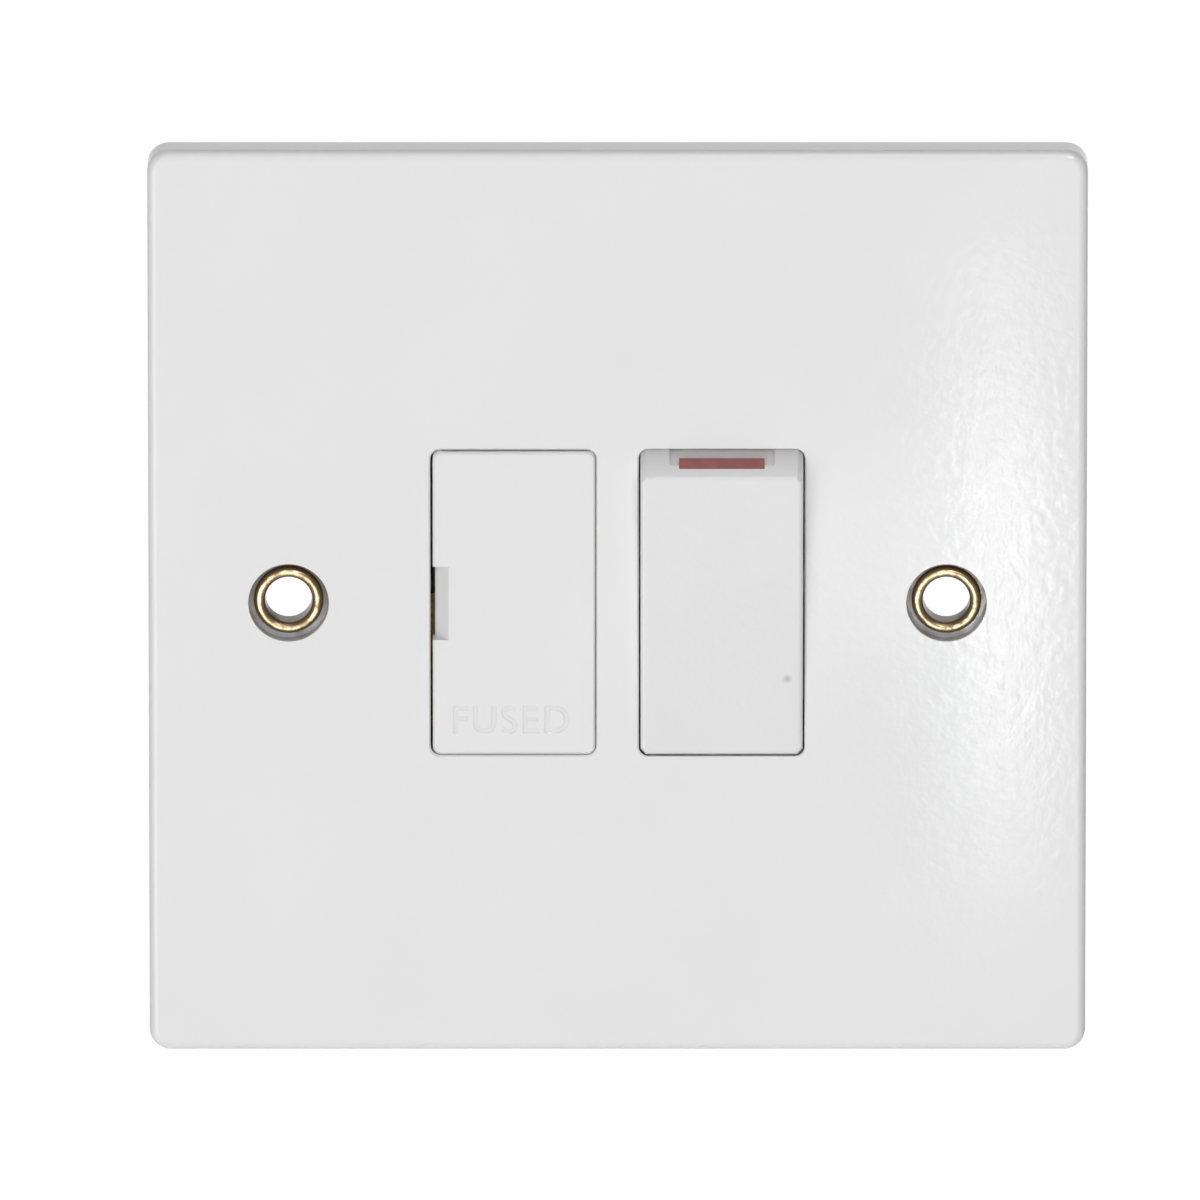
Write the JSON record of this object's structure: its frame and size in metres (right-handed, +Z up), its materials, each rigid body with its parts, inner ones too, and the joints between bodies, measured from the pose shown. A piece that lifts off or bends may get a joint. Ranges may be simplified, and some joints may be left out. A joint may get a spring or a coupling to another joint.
{
  "type": "switched fused connection unit",
  "caption": "Square white wall plate with a pull-out fuse carrier, a double-pole rocker switch and brass-eyeletted fixing holes, for a fixed appliance.",
  "frame": {"origin": "middle of the plate, in the plane of the rim that lies on the wall", "axes": "+X to the right seen from the front, +Y into the wall, +Z up"},
  "size_m": [0.086, 0.0263, 0.086],
  "materials": {
    "white_moulding": "moulded, glossy, slightly wavy",
    "housing_moulding": "moulded, satin",
    "red_flag": "dull red inlay",
    "eyelet_brass": "rolled, tarnished in the corners",
    "strip_brass": "rolled strip",
    "block_brass": "extruded and sawn",
    "plated_steel": "zinc plated",
    "spring_steel": "drawn wire",
    "contact_silver": "silver alloy",
    "clip_bronze": "spring bronze",
    "cap_nickel": "nickel plated",
    "fuse_ceramic": "unglazed",
    "plunger_nylon": "natural nylon"
  },
  "bodies": {
    "base": {"plate": "white_moulding", "rear_housing": "housing_moulding", "eyelet_left": "eyelet_brass", "eyelet_right": "eyelet_brass", "earth_strap": "strip_brass", "earth_terminal": "block_brass", "line_in_terminal": "block_brass", "neutral_in_terminal": "block_brass", "line_out_terminal": "block_brass", "neutral_out_terminal": "block_brass", "terminal_screws": "plated_steel", "housing_screws": "plated_steel", "line_fixed_contact": "strip_brass", "neutral_fixed_contact": "strip_brass", "line_fixed_silver": "contact_silver", "neutral_fixed_silver": "contact_silver", "line_link": "strip_brass", "neutral_link": "strip_brass", "fuse_clip_supply": "clip_bronze", "fuse_clip_load": "clip_bronze"},
    "rocker": {"rocker": "white_moulding", "rocker_flag": "red_flag", "line_plunger": "plunger_nylon", "neutral_plunger": "plunger_nylon", "line_spring": "spring_steel", "neutral_spring": "spring_steel"},
    "line_blade": {"line_moving_contact": "strip_brass", "line_moving_silver": "contact_silver"},
    "neutral_blade": {"neutral_moving_contact": "strip_brass", "neutral_moving_silver": "contact_silver"},
    "fuse_drawer": {"fuse_carrier": "white_moulding", "fuse_tube": "fuse_ceramic", "fuse_cap_upper": "cap_nickel", "fuse_cap_lower": "cap_nickel"}
  },
  "joints": [
    {"name": "rocker_rock", "type": "hinge", "parent": "base", "child": "rocker", "pos_m": [0.00955, 0.00527, 0], "axis": [1, 0, 0], "range_deg": [-10.3, 0]},
    {"name": "line_blade_tilt", "type": "hinge", "parent": "base", "child": "line_blade", "pos_m": [0.00615, 0.0128, 0], "axis": [1, 0, 0], "range_deg": [0, 15.5]},
    {"name": "neutral_blade_tilt", "type": "hinge", "parent": "base", "child": "neutral_blade", "pos_m": [0.01295, 0.0128, 0], "axis": [1, 0, 0], "range_deg": [0, 15.5]},
    {"name": "fuse_drawer_slide", "type": "slide", "parent": "base", "child": "fuse_drawer", "axis": [0, -1, 0], "range_m": [0, 0.0119]}
  ],
  "couplings": [
    {"joint": "line_blade_tilt", "follows": "rocker_rock", "ratio": -1.5},
    {"joint": "neutral_blade_tilt", "follows": "rocker_rock", "ratio": -1.5}
  ]
}
